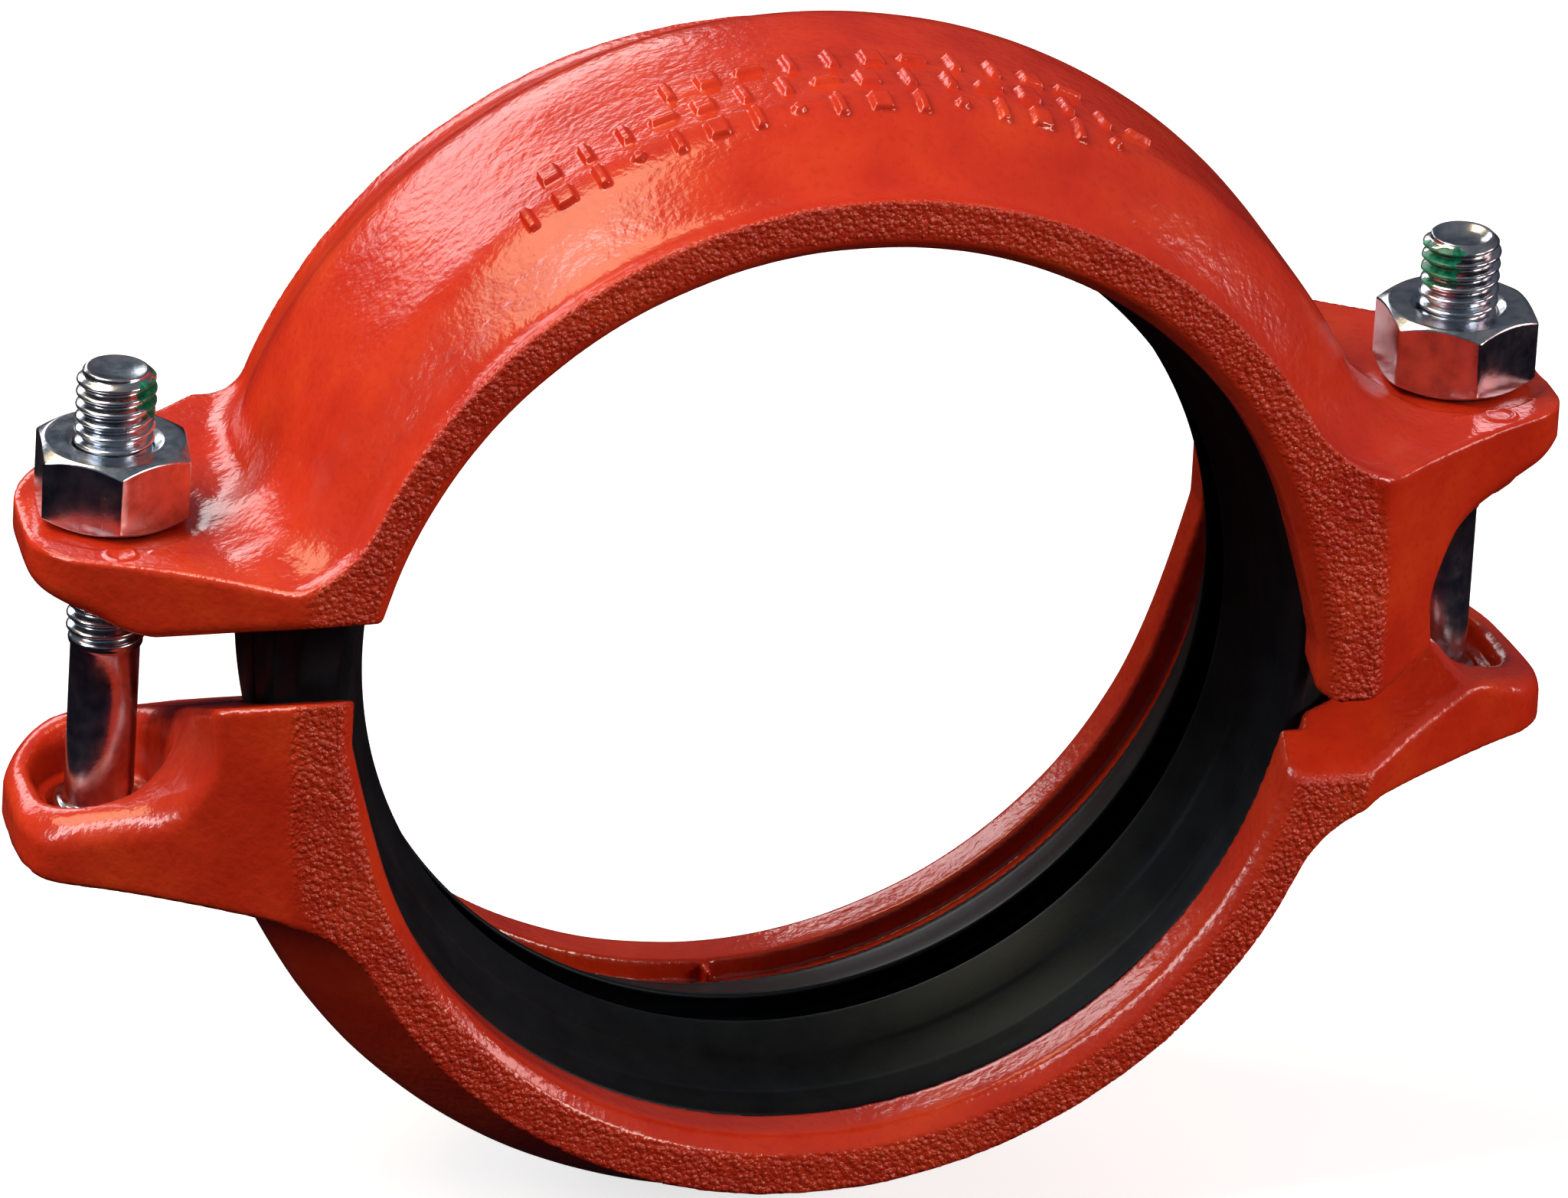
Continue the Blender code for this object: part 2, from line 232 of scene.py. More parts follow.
def mating_side(x, y, z, side, middle, under, block_x, end_r, join_r):
    """Negative above the slanted pad and, outside its block, above the ear's sloping underside.

    The factors near 1 are cosines of the slopes, which keep each field close to a distance.
    """
    across = np.abs(x)
    pad = (middle + side * PAD_SLOPE * y - z) * 0.908
    block = (across - block_x) * 0.98 + (z - under[0]) * BLOCK_LEAN
    level = (under[0] + under[1] * np.maximum(across - BOLT_X, -4.0) - z) * 0.91
    level = round_cut(level, across - EAR_END, end_r)
    return round_cut(pad, round_join(block, level, join_r), PAD_EDGE)


def casting_field(x, y, z):
    """Signed distance in mm, negative inside; ear A at -X, ear B at +X."""
    high = z - ARC_SHIFT
    solid = ring_outside(x, y, high)

    at_b = x > 0.0
    seat = np.where(at_b, SEAT_B, SEAT_A).astype(x.dtype)
    wall = ear_wall(x, y)
    lip = np.where(at_b, 0.0, np.where(y > 0.0, BACK_LIP, FRONT_LIP))
    lip = lip * smooth_step((np.abs(y) - LIP_FROM) / 8.0)
    ear = np.maximum(z - seat - lip, EAR_ROOT - np.abs(x))
    from_bolt = np.hypot(np.abs(x) - BOLT_X, y)
    fillet = EAR_FILLET[0] + EAR_FILLET[1] * smooth_step((6.0 - y) / 12.0)
    solid = round_join(solid, ear, fillet)
    solid = round_cut(solid, -np.maximum(from_bolt - SEAT_SPOT_R, seat - z), SEAT_EDGE)
    solid = round_cut(solid, wall, WALL_EDGE)

    under = np.where(at_b, mating_side(x, y, z, *SIDE_B), mating_side(x, y, z, *SIDE_A)).astype(x.dtype)
    rounder_b = 2.3 * smooth_step((np.abs(x) - 75.0) / 4.0)
    rounder_a = 1.1 * smooth_step((np.abs(x) - 84.0) / 5.0)
    edge = np.where(at_b, PAD_EDGE + rounder_b, PAD_EDGE + rounder_a).astype(x.dtype)
    solid = round_cut(solid, under, edge)
    solid = round_cut(solid, np.abs(y) - RIM_Y, RIM_EDGE)

    top = np.where(at_b, RELIEF_TOP_B, RELIEF_TOP_A)
    relief = np.maximum(slot_distance(np.abs(x) - BOLT_X, y, RELIEF), z - top)
    solid = round_cut(solid, -relief, np.where(at_b, RELIEF_EDGE_B, RELIEF_EDGE_A).astype(x.dtype))
    solid = round_cut(solid, -slot_distance(np.abs(x) - BOLT_X, y, SLOT), SLOT_EDGE)

    widen = np.minimum(FLARE_RATE * np.maximum(FLARE_FROM - z, 0.0) ** 2, FLARE_MOST)
    across = x - BORE_ASIDE
    radius = np.where(high > 0.0, np.hypot(across, high * BORE_Z), np.abs(across)) - widen
    flare = (RIM_IN_R - KEY_R) / (RIM_Y - KEY_OUT_Y)
    mouth = (radius - KEY_R - flare * (np.abs(y) - KEY_OUT_Y)) * 0.74
    bore = round_join(radius - KEY_R, mouth, 0.5)
    shelf = np.maximum(np.abs(y) - KEY_IN_Y, radius - SHELF_R)
    taper = (POCKET_Y - POCKET_FLOOR_Y) / (POCKET_R - SHELF_R)
    pocket = np.maximum((np.abs(y) - POCKET_Y + (radius - SHELF_R) * taper) * 0.93, radius - POCKET_R)
    for void, r in ((bore, BORE_EDGE), (shelf, SHELF_EDGE), (pocket, SHELF_EDGE)):
        solid = round_cut(solid, -void, r)

    rib_x = np.abs(x) - RIB[0]
    rib_y = np.abs(y - (KEY_IN_Y + POCKET_Y) / 2.0) - RIB[1]
    rib = np.maximum(np.maximum(rib_x, rib_y), np.abs(radius - RIB_R) - RIB[2])
    rib = np.maximum(rib, -high)
    return round_join(solid, rib, SHELF_EDGE)


def surface_net(field, low, cell):
    """Quads round every sign change of a sampled field."""
    inside = field < 0.0
    corners = [inside[i:inside.shape[0] - 1 + i, j:inside.shape[1] - 1 + j, k:inside.shape[2] - 1 + k]
               for i in (0, 1) for j in (0, 1) for k in (0, 1)]
    count = sum(c.astype(np.int8) for c in corners)
    active = np.argwhere((count > 0) & (count < 8))
    index = np.full(count.shape, -1, np.int32)
    index[tuple(active.T)] = np.arange(len(active))

    total = np.zeros((len(active), 3))
    hits = np.zeros(len(active))
    for axis in range(3):
        step = np.eye(3, dtype=int)[axis]
        others = [np.eye(3, dtype=int)[a] for a in range(3) if a != axis]
        for u in (0, 1):
            for v in (0, 1):
                start = active + u * others[0] + v * others[1]
                a = field[tuple(start.T)]
                b = field[tuple((start + step).T)]
                crosses = (a < 0.0) != (b < 0.0)
                along = np.where(crosses, a / np.where(crosses, a - b, 1.0), 0.0)
                point = start + along[:, None] * step
                total[crosses] += point[crosses]
                hits[crosses] += 1.0
    verts = low + cell * total / hits[:, None]

    quads = []
    for axis in range(3):
        step = np.eye(3, dtype=int)[axis]
        u, v = [np.eye(3, dtype=int)[a] for a in ((axis + 1) % 3, (axis + 2) % 3)]
        first = tuple(slice(0, n - s) for n, s in zip(field.shape, step))
        second = tuple(slice(s, n) for n, s in zip(field.shape, step))
        change = inside[first] != inside[second]
        at = np.argwhere(change)
        leaves = inside[tuple(at.T)]
        ring = [index[tuple((at - du * u - dv * v).T)] for du, dv in ((0, 0), (1, 0), (1, 1), (0, 1))]
        quad = np.stack(ring, axis=1)
        quad[~leaves] = quad[~leaves][:, ::-1]
        quads.append(quad)
    return verts, np.concatenate(quads)


# ------------------------------------------------------- numpy value noise
def lattice(ix, iy, iz, seed):
    """Repeatable random numbers from 0 to 1 on whole-number points."""
    h = (ix * 374761393 + iy * 668265263 + iz * 2147483647 + seed * 1274126177) & 0xFFFFFFFF
    h = ((h ^ (h >> 13)) * 1274126177) & 0xFFFFFFFF
    h = ((h ^ (h >> 16)) * 2246822519) & 0xFFFFFFFF
    return ((h ^ (h >> 15)) & 0xFFFFFF) / float(0xFFFFFF)


def value_noise(points, size, seed):
    """Smooth noise from 0 to 1 with features of about the given size."""
    p = points / size
    base = np.floor(p).astype(np.int64)
    f = p - base
    f = f * f * f * (f * (f * 6.0 - 15.0) + 10.0)
    total = np.zeros(len(points))
    for dx in (0, 1):
        wx = f[:, 0] if dx else 1.0 - f[:, 0]
        for dy in (0, 1):
            wy = f[:, 1] if dy else 1.0 - f[:, 1]
            for dz in (0, 1):
                wz = f[:, 2] if dz else 1.0 - f[:, 2]
                total += wx * wy * wz * lattice(base[:, 0] + dx, base[:, 1] + dy, base[:, 2] + dz, seed)
    return total


# --------------------------------------------------- casting marks and skin
def box_mask(u, v, half_u, half_v, soft):
    """1 inside a rectangle with rounded corners, falling to 0 over soft mm."""
    d = np.hypot(np.maximum(np.abs(u) - half_u, 0.0), np.maximum(np.abs(v) - half_v, 0.0))
    return 1.0 - smooth_step(d / soft)


# Plain raised pads, ticks, bars and pips in rows along the hump:
# (y of the row, first and last angle from the top, kinds in turn).
MARK_ROWS = ((-13.2, -35.0, 33.0, "tstp"), (-7.4, -31.0, 37.0, "sttb"), (-1.6, -17.0, 30.0, "tsbt"))
MARK_PITCH = 4.1                      # degrees
MARK_HEIGHT = 0.78
MARK_SOFT = 0.5


def mark_shape(kind, u, v):
    """One mark, 1 on its face and 0 away from it: u along the ring, v across it."""
    if kind == "b":                   # a bar along the ring
        return box_mask(u, v, 1.4, 0.35, MARK_SOFT)
    if kind == "t":                   # a tall tick
        return box_mask(u, v, 0.35, 1.7, MARK_SOFT)
    if kind == "s":                   # a square pad
        return box_mask(u, v, 1.0, 1.3, MARK_SOFT)
    return 1.0 - smooth_step((np.hypot(u, v) - 0.55) / MARK_SOFT)


def mark_relief(x, y, z):
    """Height of the raised marks over the ring at each point."""
    angle = np.degrees(np.arctan2(x, z - ARC_SHIFT))
    height = np.zeros_like(x)
    for row_y, first, last, kinds in MARK_ROWS:
        count = int((last - first) / MARK_PITCH)
        for i in range(count):
            u = np.radians(angle - first - MARK_PITCH * (i + 0.5)) * CREST_R
            height = np.maximum(height, mark_shape(kinds[i % len(kinds)], u, y - row_y))
    outside = np.hypot(x, z - ARC_SHIFT) > 66.0
    return height * MARK_HEIGHT * (z > 20.0) * outside


def ear_marks(x, y, z):
    """A plain foundry ring and a tick on each ear top, beside the nut."""
    on_top = (z > 14.0) & (np.abs(y) < 30.0)
    u, v = np.abs(x) - (BOLT_X + 2.0), y + 12.6
    ring = 1.0 - smooth_step(np.abs(np.hypot(u, v) - 1.7) / 0.6)
    tick = box_mask(u + 4.6, v, 0.8, 0.15, 0.5)
    return 0.22 * np.maximum(ring, tick) * on_top


def skin(points):
    """Sand-cast unevenness: how far each point of the surface is let down."""
    x, y, z = points.T
    radius = np.where(z > ARC_SHIFT, np.hypot(x, z - ARC_SHIFT), np.abs(x))
    rim = smooth_step((np.abs(y) - 27.4) / 1.0) * smooth_step((radius - RIM_IN_R + 0.8) / 0.8)
    rim *= 1.0 - smooth_step((radius - 66.5) / 3.0)
    gentle = 0.10 * value_noise(points, 7.0, 3)
    popcorn = value_noise(points, 1.7, 5) * 0.6 + value_noise(points, 1.0, 6) * 0.4
    return gentle + rim * 0.14 * popcorn, rim


def slope_of(points, h=0.05):
    """The field's slope at each point."""
    x, y, z = points.T
    return np.stack([(casting_field(x + h, y, z) - casting_field(x - h, y, z)),
                     (casting_field(x, y + h, z) - casting_field(x, y - h, z)),
                     (casting_field(x, y, z + h) - casting_field(x, y, z - h))], axis=1) / (2.0 * h)


def settle(verts, steps=3, reach=0.45):
    """Pull each vertex onto the exact surface along the field's slope."""
    for _ in range(steps):
        value = casting_field(*verts.T)
        slope = slope_of(verts)
        size = np.maximum((slope * slope).sum(axis=1), 0.2)
        move = slope * (value / size)[:, None]
        length = np.linalg.norm(move, axis=1)
        verts = verts - move * np.minimum(1.0, reach / np.maximum(length, 1e-9))[:, None]
    return verts


def raw_casting():
    """Points and quads of the casting on its sampling grid, before they settle."""
    low = np.array([-EAR_END - 1.5, -RIM_Y - 1.5, -17.0])
    high = np.array([EAR_END + 1.5, RIM_Y + 1.5, HUMP_R + ARC_SHIFT + 1.5])
    axes = [np.arange(a, b + CELL, CELL, dtype=np.float32) for a, b in zip(low, high)]
    x, y, z = np.meshgrid(*axes, indexing="ij", copy=False)
    field = np.empty(x.shape, np.float32)
    for i in range(0, x.shape[0], 16):
        part = slice(i, i + 16)
        field[part] = casting_field(x[part], y[part], z[part])
    return surface_net(field, low, CELL)


def new_object(name, verts, faces):
    """A mesh object from points in mm."""
    mesh = bpy.data.meshes.new(name)
    mesh.from_pydata((np.asarray(verts) * MM).tolist(), [], [list(map(int, f)) for f in faces])
    mesh.validate()
    obj = bpy.data.objects.new(name, mesh)
    bpy.context.scene.collection.objects.link(obj)
    mesh.shade_smooth()
    return obj


def points_of(obj):
    flat = np.empty(len(obj.data.vertices) * 3)
    obj.data.vertices.foreach_get("co", flat)
    return flat.reshape(-1, 3) / MM


def set_points(obj, points):
    obj.data.vertices.foreach_set("co", (points * MM).ravel())
    obj.data.update()


def refine(obj, wanted, cuts):
    """Cut the faces whose middle passes the test into finer ones."""
    mesh = bmesh.new()
    mesh.from_mesh(obj.data)
    centres = np.array([f.calc_center_median() for f in mesh.faces]) / MM
    keep = wanted(centres)
    edges = {e for f, k in zip(mesh.faces, keep) if k for e in f.edges}
    bmesh.ops.subdivide_edges(mesh, edges=list(edges), cuts=cuts, use_grid_fill=True)
    mesh.to_mesh(obj.data)
    mesh.free()


def near_marks(points):
    x, y, z = points.T
    angle = np.degrees(np.arctan2(x, z - ARC_SHIFT))
    radius = np.hypot(x, z - ARC_SHIFT)
    return (y < 1.6) & (y > -16.6) & (np.abs(angle) < 38.5) & (radius > 66.5) & (z > 20.0)


def near_rims(points):
    x, y, z = points.T
    radius = np.where(z > ARC_SHIFT, np.hypot(x, z - ARC_SHIFT), np.abs(x))
    return (np.abs(y) > RIM_Y - 0.5) & (radius < 67.0)


def near_ear_marks(points):
    x, y, z = points.T
    flat_top = np.where(x > 0.0, np.abs(z - SEAT_B), np.abs(z - SEAT_A)) < 1.2
    return flat_top & (y < -9.0) & (y > -17.0) & (np.abs(x) > BOLT_X - 6.5)


def build_castings():
    """The upper casting, and an unmarked one turned half a turn about the pipe axis."""
    verts, quads = raw_casting()
    upper = new_object("upper_casting", verts, quads)
    refine(upper, near_rims, 1)
    lower = upper.copy()
    lower.data = upper.data.copy()
    lower.name = lower.data.name = "lower_casting"
    bpy.context.scene.collection.objects.link(lower)
    refine(upper, lambda p: near_marks(p) | near_ear_marks(p), 2)
    finish_skin(upper, True)
    finish_skin(lower, False)
    set_points(lower, points_of(lower) * np.array([-1.0, 1.0, -1.0]))
    return upper, lower


def finish_skin(casting, marked):
    """Settle the points on the casting's surface, then add its marks and roughness."""
    points = settle(points_of(casting))
    slope = slope_of(points)
    out = slope / np.maximum(np.linalg.norm(slope, axis=1), 1e-6)[:, None]
    down, rim = skin(points)
    if marked:
        lift = np.maximum(mark_relief(*points.T), ear_marks(*points.T))
    else:
        lift = 0.0
    points = points + out * (lift - down)[:, None]
    set_points(casting, points)
    attribute = casting.data.attributes.new("rim", "FLOAT", "POINT")
    attribute.data.foreach_set("value", rim.astype(np.float32))
    casting.data.shade_smooth()


# ---------------------------------------------------------- turned pieces
def lofted(rows, wrap_shift=0):
    """Points and faces of a skin through rings of points, each ring closed.
    With wrap_shift the seam climbs that many rows, so the rings follow a helix."""
    rows = np.asarray(rows)
    count, across = rows.shape[:2]
    faces = []
    for i in range(count - 1):
        for j in range(across):
            k = j + 1
            shift = 0
            if k == across:
                k, shift = 0, wrap_shift
            if i + shift + 1 >= count:
                continue
            a, b = i * across + j, (i + 1) * across + j
            c, d = (i + 1 + shift) * across + k, (i + shift) * across + k
            faces.append((a, d, c, b))
    verts = rows.reshape(-1, 3)
    return verts, faces


def merged(name, parts, merge=0.004):
    """One object from several (points, faces) lists, welded where they meet."""
    verts, faces, base = [], [], 0
    for points, polys in parts:
        verts.append(points)
        faces += [tuple(i + base for i in f) for f in polys]
        base += len(points)
    obj = new_object(name, np.concatenate(verts), faces)
    mesh = bmesh.new()
    mesh.from_mesh(obj.data)
    bmesh.ops.remove_doubles(mesh, verts=mesh.verts, dist=merge * MM)
    bmesh.ops.dissolve_degenerate(mesh, edges=mesh.edges, dist=merge * MM)
    bmesh.ops.recalc_face_normals(mesh, faces=mesh.faces)
    mesh.to_mesh(obj.data)
    mesh.free()
    obj.data.shade_smooth()
    return obj


def circle_rows(levels, across):
    """Rings from (radius, z) pairs."""
    angle = np.arange(across) * 2.0 * math.pi / across
    rows = []
    for radius, z in levels:
        rows.append(np.stack([radius * np.cos(angle), radius * np.sin(angle), np.full(across, z)], axis=1))
    return np.array(rows)


def oval_rows(levels, across):
    """Rings from (width, length, z): ovals with full, slightly squared ends."""
    angle = np.arange(across) * 2.0 * math.pi / across
    power = 2.3
    rows = []
    for width, length, z in levels:
        reach = (np.abs(np.cos(angle) / (width / 2.0)) ** power
                 + np.abs(np.sin(angle) / (length / 2.0)) ** power) ** (-1.0 / power)
        rows.append(np.stack([reach * np.cos(angle), reach * np.sin(angle), np.full(across, z)], axis=1))
    return np.array(rows)


# ------------------------------------------------------------------- bolts
BOLT_ACROSS = 60
ROWS_PER_PITCH = 10
THREAD_DEPTH = 0.95
TIP_R = 3.72
TIP_BEVEL = 1.0
RUN_OUT = 1.6                         # length over which the thread fades in
SHOULDER_R = 4.45                     # radius where the thread has faded
HEAD_H = 4.6
NECK_H = 4.5
HEAD = (17.0, 21.0)
NECK = (10.2, 13.0)


def thread_radius(angle, z, start, tip):
    """Radius of the rolled thread: rounded crests and roots."""
    phase = (z / PITCH - angle / (2.0 * math.pi)) % 1.0
    away = np.abs(2.0 * phase - 1.0)
    fall = np.clip((away - 0.14) / (1.0 - 0.14 - 0.16), 0.0, 1.0)
    fall = 0.45 * fall + 0.55 * smooth_step(fall)
    radius = THREAD_R - THREAD_DEPTH * fall
    fade = smooth_step((z - start) / RUN_OUT)
    radius = SHOULDER_R + (radius - SHOULDER_R) * fade
    bevel = TIP_R + (tip - z) * (THREAD_R - TIP_R) / TIP_BEVEL
    return np.minimum(radius, bevel)


def thread_rows(start, tip):
    """Rings that climb with the helix, flattened at both ends."""
    first = int(start / PITCH * ROWS_PER_PITCH) - ROWS_PER_PITCH - 1
    last = int(tip / PITCH * ROWS_PER_PITCH) + 2
    turn = np.arange(BOLT_ACROSS) / BOLT_ACROSS
    rows = []
    for i in range(first, last + 1):
        z = np.clip(PITCH * (i / ROWS_PER_PITCH + turn), start, tip)
        angle = turn * 2.0 * math.pi
        radius = thread_radius(angle, z, start, tip)
        rows.append(np.stack([radius * np.cos(angle), radius * np.sin(angle), z], axis=1))
    return np.array(rows)


# The domed head, from its shoulder down: how much narrower and shorter than HEAD, how far below the seat.
HEAD_DOME = ((0.9, 0.9, 0.05), (0.15, 0.15, 0.4), (0.0, 0.0, 0.9), (0.2, 0.2, 1.3), (1.2, 1.2, 2.0),
             (3.2, 3.2, 2.9), (6.2, 6.4, 3.7), (10.0, 10.8, 4.3), (14.0, 16.5, 4.56))


def build_bolt(name, node, cup_depth, cup_r):
    """A track-head bolt: threaded end with a cupped tip, plain shank, oval neck and domed head."""
    low, high = box_mm(node)
    centre = np.array([(low[0] + high[0]) / 2.0, 0.0, 0.0])
    tip, seat = high[2], low[2] + HEAD_H
    start = tip - THREAD_LEN
    neck_top = seat + NECK_H
    thread = lofted(thread_rows(start, tip), ROWS_PER_PITCH)
    end = circle_rows([(TIP_R, tip), (TIP_R - 0.25, tip), (cup_r, tip - 0.12),
                       (cup_r - 0.5, tip - cup_depth * 0.7), (cup_r - 1.3, tip - cup_depth),
                       (0.9, tip - cup_depth * 1.04), (0.0, tip - cup_depth * 1.05)], BOLT_ACROSS)
    shank = circle_rows([(SHOULDER_R, start), (SHOULDER_R - 0.05, start - 0.15), (SHANK_R, start - 0.45),
                         (SHANK_R, start - 6.0), (SHANK_R, neck_top + 0.8),
                         (SHANK_R + 0.15, neck_top + 0.25)], BOLT_ACROSS)
    neck = [(SHANK_R * 2 + 0.8, SHANK_R * 2 + 0.8, neck_top + 0.02), (NECK[0] - 0.7, NECK[1] - 0.7, neck_top),
            (NECK[0], NECK[1], neck_top - 0.4), (NECK[0], NECK[1], seat + 0.4),
            (NECK[0] + 0.6, NECK[1] + 0.6, seat - 0.05)]
    head = [(HEAD[0] - narrower, HEAD[1] - shorter, seat - drop) for narrower, shorter, drop in HEAD_DOME]
    neck = oval_rows(neck + head + [(0.02, 0.02, seat - HEAD_H)], BOLT_ACROSS)
    below = np.concatenate([shank, neck])
    points, faces = lofted(below[::-1])
    cap, cap_faces = lofted(end)
    obj = merged(name, [thread, (points, faces), (cap, cap_faces)])
    set_points(obj, points_of(obj) + centre)
    return obj


PATCH_SWEEP = 112.0                   # degrees round the thread
PATCH_GRID = (56, 60)                 # points round the thread and along it
PATCH_FROM, PATCH_TO = 0.15, 6.3      # below the bolt's tip


def build_patch(name, bolt_node, middle, seed):
    """Locking compound smeared over the top threads, thinning to its ragged edge."""
    low, high = box_mm(bolt_node)
    centre = np.array([(low[0] + high[0]) / 2.0, 0.0, 0.0])
    tip = high[2]
    start = tip - THREAD_LEN
    across, rows = PATCH_GRID
    angle = np.radians(middle + np.linspace(-0.5, 0.5, across) * PATCH_SWEEP)
    drop = np.linspace(PATCH_FROM, PATCH_TO, rows)
    a, d = np.meshgrid(angle, drop)
    z = tip - d
    radius = thread_radius(a % (2.0 * math.pi), z, start, tip)
    side = np.abs(np.degrees(a) - middle) / (PATCH_SWEEP / 2.0)
    spot = np.stack([radius * np.cos(a), radius * np.sin(a), z], axis=-1).reshape(-1, 3)
    ragged = (value_noise(spot, 1.5, seed) - 0.5) * 0.55 + (value_noise(spot, 0.6, seed + 1) - 0.5) * 0.35
    ragged = ragged.reshape(a.shape)
    reach = np.maximum(side, np.abs((d - 2.9) / 3.0)) + ragged * 0.8
    thick = 0.10 * smooth_step((0.92 - reach) / 0.35) - 0.03
    keep = reach < 0.95
    outer = np.stack([(radius + thick) * np.cos(a), (radius + thick) * np.sin(a), z], axis=-1)
    inner = np.stack([(radius - 0.12) * np.cos(a), (radius - 0.12) * np.sin(a), z], axis=-1)
    cells = keep[:-1, :-1] & keep[1:, :-1] & keep[:-1, 1:] & keep[1:, 1:]
    grid = np.arange(rows * across).reshape(rows, across)
    offset = rows * across
    faces = []
    for i, j in np.argwhere(cells):
        ring = [grid[i, j], grid[i, j + 1], grid[i + 1, j + 1], grid[i + 1, j]]
        faces.append(tuple(ring[::-1]))
        faces.append(tuple(v + offset for v in ring))
        for di, dj, p, q in ((-1, 0, 0, 1), (0, 1, 1, 2), (1, 0, 2, 3), (0, -1, 3, 0)):
            ni, nj = i + di, j + dj
            inside = 0 <= ni < rows - 1 and 0 <= nj < across - 1 and cells[ni, nj]
            if not inside:
                faces.append((ring[p], ring[q], ring[q] + offset, ring[p] + offset))
    verts = np.concatenate([outer.reshape(-1, 3), inner.reshape(-1, 3)]) + centre
    obj = new_object(name, verts, faces)
    mesh = bmesh.new()
    mesh.from_mesh(obj.data)
    loose = [v for v in mesh.verts if not v.link_faces]
    bmesh.ops.delete(mesh, geom=loose, context="VERTS")
    bmesh.ops.recalc_face_normals(mesh, faces=mesh.faces)
    mesh.to_mesh(obj.data)
    mesh.free()
    obj.data.shade_smooth()
    return obj


# -------------------------------------------------------------------- nuts
NUT_FACE_R = NUT_AF / 2.0 * 0.955
NUT_CORNER_R = 0.45
NUT_BORE_R = 4.82
MOUTH_R = 5.75
MOUTH_DEPTH = 0.75
NUT_EDGE_ANGLE = math.radians(24.0)   # edges sharper than this are worn, not smoothed


def nut_outline(turn):
    """Points round the hexagon, its corners slightly rounded."""
    points = []
    half = NUT_AF / 2.0
    for side in range(6):
        mid = math.radians(60.0 * side + 30.0) + turn
        normal = np.array([math.cos(mid), math.sin(mid)])
        along = np.array([-normal[1], normal[0]])
        reach = half * math.tan(math.radians(30.0)) - NUT_CORNER_R * math.tan(math.radians(30.0))
        for t in np.linspace(-1.0, 1.0, 11):
            points.append(normal * half + along * reach * t)
        corner = normal * (half - NUT_CORNER_R) + along * reach
        for k in (1, 2):
            a = mid + math.radians(60.0 * k / 3.0)
            points.append(corner + NUT_CORNER_R * np.array([math.cos(a), math.sin(a)]))
    return np.array(points)


def build_nut(name, node):
    """A heavy hex nut, chamfered on both faces, turned as the CAD nut is."""
    low, high = box_mm(node)
    spots = np.array([v.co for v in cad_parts[node].data.vertices]) / MM
    centre = (low + high) / 2.0
    flat = spots[:, :2] - centre[:2]
    corner = flat[np.argmax(np.hypot(*flat.T))]
    outline = nut_outline(math.atan2(corner[1], corner[0]))
    unit = outline / np.hypot(*outline.T)[:, None]
    reach = np.hypot(*outline.T)
    drop = np.maximum(reach - NUT_FACE_R, 0.0) * math.tan(math.radians(30.0))

    def ring(radius, z):
        return np.column_stack([unit * radius, np.full(len(unit), z)])

    edge = np.column_stack([outline, drop])
    top = np.column_stack([outline, NUT_H - drop])
    rows = [ring(NUT_BORE_R, MOUTH_DEPTH), ring(MOUTH_R, 0.0), ring(NUT_FACE_R, 0.0), edge, top,
            ring(NUT_FACE_R, NUT_H), ring(MOUTH_R, NUT_H), ring(NUT_BORE_R, NUT_H - MOUTH_DEPTH),
            ring(NUT_BORE_R, MOUTH_DEPTH)]
    obj = merged(name, [lofted(rows)], merge=0.002)
    set_points(obj, points_of(obj) + np.array([centre[0], centre[1], low[2]]))
    obj.data.set_sharp_from_angle(angle=NUT_EDGE_ANGLE)
    bevel = obj.modifiers.new("Worn edges", "BEVEL")
    bevel.width = 0.16 * MM
    bevel.segments = 2
    bevel.limit_method = "ANGLE"
    bevel.angle_limit = NUT_EDGE_ANGLE
    return obj


# ------------------------------------------------------------------ gasket
GASKET_CENTRE = (1.1, -0.6)           # the slack ring hangs a little low and to one side
TEETH = 250
TOOTH = (0.0, 0.10, 0.20, 0.05)       # one tooth of the serrated shoulder
GASKET_ACROSS = TEETH * len(TOOTH)
# (y, r, corner radius) along one half of the section, from the outer wall's
# middle round the shoulder and lip to the middle of the inner cavity.
GASKET_HALF = ((0.0, 64.4, 0.0), (4.2, 64.4, 0.0), (4.4, 64.15, 0.1), (5.2, 64.15, 0.1), (5.4, 64.4, 0.0),
               (14.3, 64.35, 0.7), (18.15, 60.0, 0.5), (18.0, 58.6, 0.35), (16.4, 57.95, 0.25),
               (14.9, 57.25, 0.25), (14.3, 57.2, 0.3), (9.5, 55.9, 0.0), (8.9, 55.45, 0.3), (4.2, 53.35, 0.0),
               (3.5, 53.25, 0.2), (3.3, 53.7, 0.2), (8.0, 56.6, 1.6), (11.6, 60.4, 1.6), (9.0, 61.4, 1.2),
               (0.0, 61.0, 0.0))


def rounded(points, steps=4):
    """A closed outline (y, r, corner radius) with its corners rounded."""
    result = []
    count = len(points)
    for i, (y, r, fillet) in enumerate(points):
        here = np.array([y, r])
        before = np.array(points[i - 1][:2]) - here
        after = np.array(points[(i + 1) % count][:2]) - here
        if fillet <= 0.0:
            result.append(here)
            continue
        reach = min(fillet, np.linalg.norm(before) * 0.48, np.linalg.norm(after) * 0.48)
        a = here + before / np.linalg.norm(before) * reach
        b = here + after / np.linalg.norm(after) * reach
        for t in np.linspace(0.0, 1.0, steps):
            result.append(a * (1 - t) ** 2 + here * 2 * t * (1 - t) + b * t * t)
    return np.array(result)


